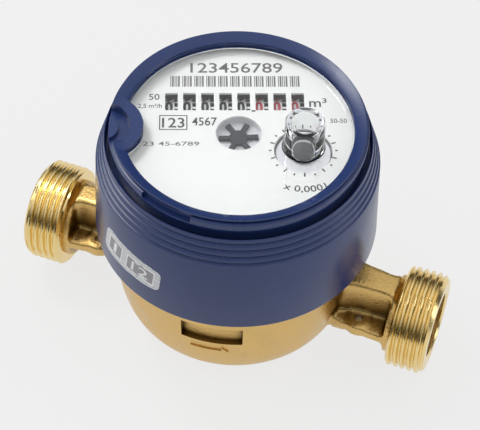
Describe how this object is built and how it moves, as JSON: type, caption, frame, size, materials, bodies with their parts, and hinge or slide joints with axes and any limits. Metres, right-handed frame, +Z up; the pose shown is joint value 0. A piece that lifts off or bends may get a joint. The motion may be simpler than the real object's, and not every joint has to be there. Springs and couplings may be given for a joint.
{
  "type": "water meter",
  "caption": "Single-jet dry-dial water meter: brass body with threaded pipe ends, turning blue register head, roller counter, leak star and clear pulse-sensor tube.",
  "frame": {"origin": "centre of the overall box in X and Y, on the flat foot of the body", "axes": "+X along the pipe in the flow direction, +Z up along the register axis"},
  "size_m": [0.11, 0.071, 0.077],
  "materials": {
    "cast_brass": "cast, matte, with machined threads",
    "blue_plastic": "satin moulded dark blue",
    "clear_plastic": "clear moulded lens",
    "black_rubber": "moulded seal",
    "dial_white": "printed white dial",
    "cup_plastic": "natural moulded plastic",
    "white_plastic": "white moulded plastic",
    "red_plastic": "red marked rollers",
    "dark_plastic": "dark grey moulded plastic",
    "grey_plastic": "light grey moulded plastic",
    "ferrite": "moulded magnet",
    "steel": "turned steel"
  },
  "bodies": {
    "meter_body": {"brass_body": "cast_brass", "inlet_strainer": "cup_plastic", "bottom_pivot": "steel", "chamber_o_ring": "black_rubber", "pressure_plate": "cup_plastic", "clamp_ring": "cast_brass"},
    "head": {"casing": "blue_plastic", "bezel_ring": "blue_plastic", "lens": "clear_plastic", "lens_gasket": "black_rubber", "dial_plate": "dial_white", "register_cup": "cup_plastic", "movement_plate": "white_plastic", "drum_cradle": "white_plastic", "drum_axle": "steel", "carry_axle": "steel"},
    "impeller": {"impeller": "white_plastic", "impeller_magnet": "ferrite"},
    "centre": {"centre_arbor": "steel", "follower_magnet": "ferrite", "star_wheel": "dark_plastic"},
    "transfer": {"transfer_arbor": "cup_plastic"},
    "pointer": {"pointer_arbor": "cup_plastic", "pointer_disc": "grey_plastic", "pointer_magnet": "ferrite"},
    "worm": {"worm_arbor": "steel"},
    "roller_1": {"drum_1": "red_plastic", "worm_wheel": "white_plastic"},
    "roller_2": {"drum_2": "red_plastic"},
    "roller_3": {"drum_3": "red_plastic"},
    "roller_4": {"drum_4": "white_plastic"},
    "roller_5": {"drum_5": "white_plastic"},
    "roller_6": {"drum_6": "white_plastic"},
    "roller_7": {"drum_7": "white_plastic"},
    "roller_8": {"drum_8": "white_plastic"},
    "carry_1": {"carry_pinion_1": "cup_plastic"},
    "carry_2": {"carry_pinion_2": "cup_plastic"},
    "carry_3": {"carry_pinion_3": "cup_plastic"},
    "carry_4": {"carry_pinion_4": "cup_plastic"},
    "carry_5": {"carry_pinion_5": "cup_plastic"},
    "carry_6": {"carry_pinion_6": "cup_plastic"},
    "carry_7": {"carry_pinion_7": "cup_plastic"}
  },
  "joints": [
    {"name": "impeller_spin", "type": "hinge", "parent": "meter_body", "child": "impeller", "pos_m": [0, 0, 0.0155], "axis": [0, 0, 1], "continuous": true},
    {"name": "head_turn", "type": "hinge", "parent": "meter_body", "child": "head", "pos_m": [0, 0, 0.0379], "axis": [0, 0, 1], "range_deg": [-180, 175]},
    {"name": "star_spin", "type": "hinge", "parent": "head", "child": "centre", "pos_m": [0, 0, 0.0464], "axis": [0, 0, 1], "continuous": true},
    {"name": "transfer_spin", "type": "hinge", "parent": "head", "child": "transfer", "pos_m": [0.00831, -0.00865, 0.0464], "axis": [0, 0, 1], "continuous": true},
    {"name": "pointer_spin", "type": "hinge", "parent": "head", "child": "pointer", "pos_m": [0.01629, 0.00031, 0.0482], "axis": [0, 0, 1], "continuous": true},
    {"name": "worm_spin", "type": "hinge", "parent": "head", "child": "worm", "pos_m": [0.01645, 0.00931, 0.0504], "axis": [0, 0, 1], "continuous": true},
    {"name": "roller_1_spin", "type": "hinge", "parent": "head", "child": "roller_1", "pos_m": [-0.00383, 0.00988, 0.0563], "axis": [0.9323, 0.3616, 0], "continuous": true},
    {"name": "roller_2_spin", "type": "hinge", "parent": "head", "child": "roller_2", "pos_m": [-0.00383, 0.00988, 0.0563], "axis": [0.9323, 0.3616, 0], "continuous": true},
    {"name": "roller_3_spin", "type": "hinge", "parent": "head", "child": "roller_3", "pos_m": [-0.00383, 0.00988, 0.0563], "axis": [0.9323, 0.3616, 0], "continuous": true},
    {"name": "roller_4_spin", "type": "hinge", "parent": "head", "child": "roller_4", "pos_m": [-0.00383, 0.00988, 0.0563], "axis": [0.9323, 0.3616, 0], "continuous": true},
    {"name": "roller_5_spin", "type": "hinge", "parent": "head", "child": "roller_5", "pos_m": [-0.00383, 0.00988, 0.0563], "axis": [0.9323, 0.3616, 0], "continuous": true},
    {"name": "roller_6_spin", "type": "hinge", "parent": "head", "child": "roller_6", "pos_m": [-0.00383, 0.00988, 0.0563], "axis": [0.9323, 0.3616, 0], "continuous": true},
    {"name": "roller_7_spin", "type": "hinge", "parent": "head", "child": "roller_7", "pos_m": [-0.00383, 0.00988, 0.0563], "axis": [0.9323, 0.3616, 0], "continuous": true},
    {"name": "roller_8_spin", "type": "hinge", "parent": "head", "child": "roller_8", "pos_m": [-0.00383, 0.00988, 0.0563], "axis": [0.9323, 0.3616, 0], "continuous": true},
    {"name": "carry_1_spin", "type": "hinge", "parent": "head", "child": "carry_1", "pos_m": [-0.00554, 0.01429, 0.04874], "axis": [0.9323, 0.3616, 0], "continuous": true},
    {"name": "carry_2_spin", "type": "hinge", "parent": "head", "child": "carry_2", "pos_m": [-0.00554, 0.01429, 0.04874], "axis": [0.9323, 0.3616, 0], "continuous": true},
    {"name": "carry_3_spin", "type": "hinge", "parent": "head", "child": "carry_3", "pos_m": [-0.00554, 0.01429, 0.04874], "axis": [0.9323, 0.3616, 0], "continuous": true},
    {"name": "carry_4_spin", "type": "hinge", "parent": "head", "child": "carry_4", "pos_m": [-0.00554, 0.01429, 0.04874], "axis": [0.9323, 0.3616, 0], "continuous": true},
    {"name": "carry_5_spin", "type": "hinge", "parent": "head", "child": "carry_5", "pos_m": [-0.00554, 0.01429, 0.04874], "axis": [0.9323, 0.3616, 0], "continuous": true},
    {"name": "carry_6_spin", "type": "hinge", "parent": "head", "child": "carry_6", "pos_m": [-0.00554, 0.01429, 0.04874], "axis": [0.9323, 0.3616, 0], "continuous": true},
    {"name": "carry_7_spin", "type": "hinge", "parent": "head", "child": "carry_7", "pos_m": [-0.00554, 0.01429, 0.04874], "axis": [0.9323, 0.3616, 0], "continuous": true}
  ],
  "couplings": [
    {"joint": "star_spin", "follows": "impeller_spin", "ratio": 1},
    {"joint": "transfer_spin", "follows": "impeller_spin", "ratio": -0.2},
    {"joint": "pointer_spin", "follows": "impeller_spin", "ratio": 0.04},
    {"joint": "worm_spin", "follows": "impeller_spin", "ratio": -0.08},
    {"joint": "roller_1_spin", "follows": "impeller_spin", "ratio": -0.004},
    {"joint": "roller_2_spin", "follows": "impeller_spin", "ratio": -0.0004},
    {"joint": "roller_3_spin", "follows": "impeller_spin", "ratio": -0.00004},
    {"joint": "roller_4_spin", "follows": "impeller_spin", "ratio": -0.000004},
    {"joint": "roller_5_spin", "follows": "impeller_spin", "ratio": -0.0000004},
    {"joint": "roller_6_spin", "follows": "impeller_spin", "ratio": -0.00000004},
    {"joint": "roller_7_spin", "follows": "impeller_spin", "ratio": -0.000000004},
    {"joint": "roller_8_spin", "follows": "impeller_spin", "ratio": -0.0000000004},
    {"joint": "carry_1_spin", "follows": "impeller_spin", "ratio": 0.001},
    {"joint": "carry_2_spin", "follows": "impeller_spin", "ratio": 0.0001},
    {"joint": "carry_3_spin", "follows": "impeller_spin", "ratio": 0.00001},
    {"joint": "carry_4_spin", "follows": "impeller_spin", "ratio": 0.000001},
    {"joint": "carry_5_spin", "follows": "impeller_spin", "ratio": 0.0000001},
    {"joint": "carry_6_spin", "follows": "impeller_spin", "ratio": 0.00000001},
    {"joint": "carry_7_spin", "follows": "impeller_spin", "ratio": 0.000000001}
  ]
}
